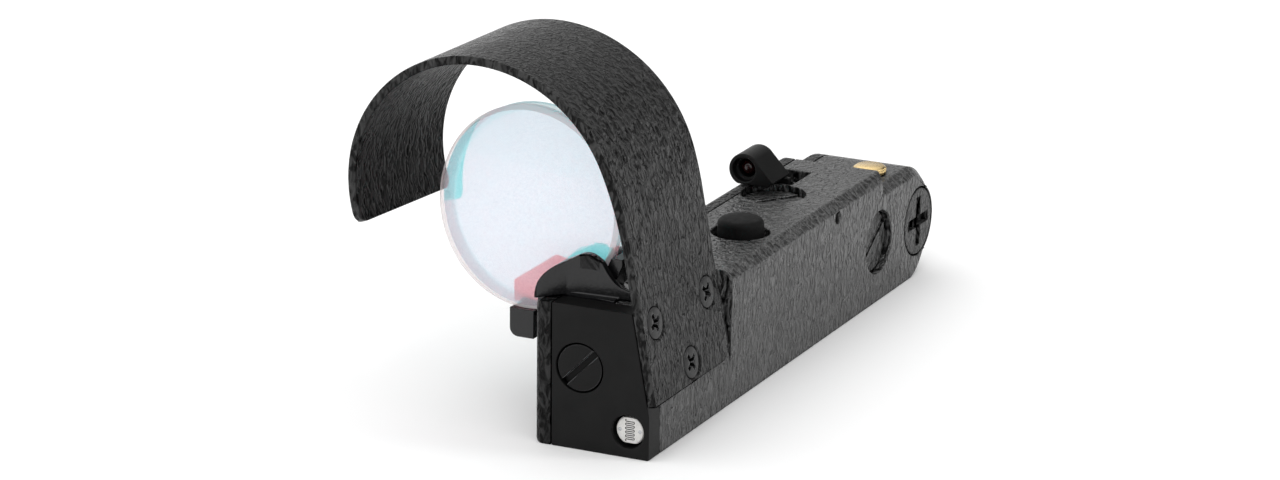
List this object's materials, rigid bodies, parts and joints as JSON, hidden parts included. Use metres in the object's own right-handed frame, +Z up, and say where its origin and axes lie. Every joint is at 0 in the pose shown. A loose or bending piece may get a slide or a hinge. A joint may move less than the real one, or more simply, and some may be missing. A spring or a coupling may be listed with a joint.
{
  "type": "red dot finder",
  "caption": "Reflex aiming finder: slim black case with an overhanging coated lens under a bent hood, an emitter arm, adjusting screws, a push button and a battery cap.",
  "frame": {"origin": "middle of the housing's flat underside", "axes": "+Z up from the underside, -Y the way the lens end faces, +X the side of the battery cap and the hood's screws"},
  "size_m": [0.0551, 0.1166, 0.0623],
  "materials": {
    "wrinkle_paint": "black wrinkle paint over aluminium",
    "satin_black": "satin black anodising",
    "gloss_black": "gloss black lacquer",
    "black_screw": "black oxide steel",
    "plain_steel": "plain steel",
    "brass": "turned and knurled brass",
    "rubber": "matte black rubber",
    "plastic": "black moulded plastic",
    "board": "green circuit board laminate",
    "ceramic": "pale glazed ceramic with a dark track",
    "emitter": "dark red epoxy",
    "coated_glass": "clear glass with a blue-green reflecting coat"
  },
  "bodies": {
    "case": {"housing": "wrinkle_paint", "side_plate": "wrinkle_paint", "front_plate": "satin_black", "hood": "wrinkle_paint", "hood_screw_1": "black_screw", "hood_screw_2": "black_screw", "hood_screw_3": "black_screw", "side_plate_screw_1": "black_screw", "side_plate_screw_2": "black_screw", "side_plate_screw_3": "black_screw", "side_plate_screw_4": "black_screw", "front_plate_pin_1": "plain_steel", "front_plate_pin_2": "plain_steel", "holder_screw_1": "black_screw", "holder_screw_2": "black_screw", "lens_front_element": "coated_glass", "lens_rear_element": "coated_glass", "lens_holder": "gloss_black", "lens_clamp": "gloss_black", "trimmer_body": "board", "photoresistor": "ceramic", "switch_body": "plastic", "circuit_board": "board", "elevation_seal": "rubber", "windage_seal": "rubber", "guide_pin_1": "plain_steel", "guide_pin_2": "plain_steel", "elevation_spring": "plain_steel", "windage_spring": "plain_steel", "battery_cell_1": "plain_steel", "battery_cell_2": "plain_steel", "contact_spring": "plain_steel", "contact_strip": "brass", "lock_screw": "black_screw"},
    "trimmer": {"trimmer_disc": "satin_black"},
    "button": {"button": "rubber", "switch_plunger": "plastic"},
    "elevation_screw": {"elevation_screw": "black_screw"},
    "elevation_carriage": {"elevation_slide": "plain_steel"},
    "windage_screw": {"windage_screw": "black_screw"},
    "windage_carriage": {"windage_slide": "plain_steel", "emitter_arm": "satin_black", "led": "emitter"},
    "cap_ring": {"cap_seal": "rubber"},
    "battery_cap": {"battery_cap": "satin_black"},
    "mount_screw": {"mount_screw": "brass"}
  },
  "joints": [
    {"name": "trimmer_turn", "type": "hinge", "parent": "case", "child": "trimmer", "pos_m": [-0.0021, -0.058, 0.0137], "axis": [0, -1, 0], "range_deg": [-135, 135]},
    {"name": "button_press", "type": "slide", "parent": "case", "child": "button", "axis": [0, 0, -1], "range_m": [0, 0.0005], "stiffness_N_per_m": 2000, "springref_m": -0.0005},
    {"name": "elevation_turn", "type": "hinge", "parent": "case", "child": "elevation_screw", "pos_m": [-0.00195, 0.0161, 0.02], "axis": [0, 0, 1], "range_deg": [-271, 271]},
    {"name": "elevation_travel", "type": "slide", "parent": "case", "child": "elevation_carriage", "axis": [0, 0, 1], "range_m": [-0.000375, 0.000375]},
    {"name": "windage_turn", "type": "hinge", "parent": "case", "child": "windage_screw", "pos_m": [0.009, 0.0343, 0.0108], "axis": [1, 0, 0], "range_deg": [-271, 271]},
    {"name": "windage_travel", "type": "slide", "parent": "elevation_carriage", "child": "windage_carriage", "axis": [1, 0, 0], "range_m": [-0.000375, 0.000375]},
    {"name": "cap_travel", "type": "slide", "parent": "case", "child": "cap_ring", "axis": [1, 0, 0], "range_m": [0, 0.0015]},
    {"name": "cap_turn", "type": "hinge", "parent": "cap_ring", "child": "battery_cap", "pos_m": [0.0102, 0.052, 0.0098], "axis": [1, 0, 0], "range_deg": [0, 721]},
    {"name": "mount_screw_turn", "type": "hinge", "parent": "case", "child": "mount_screw", "pos_m": [0.00455, 0.0428, 0.021], "axis": [0, 0, 1], "continuous": true}
  ],
  "couplings": [
    {"joint": "elevation_turn", "follows": "elevation_travel", "rad_per_m": -12566},
    {"joint": "windage_turn", "follows": "windage_travel", "rad_per_m": -12566},
    {"joint": "cap_turn", "follows": "cap_travel", "rad_per_m": 8377.6}
  ]
}
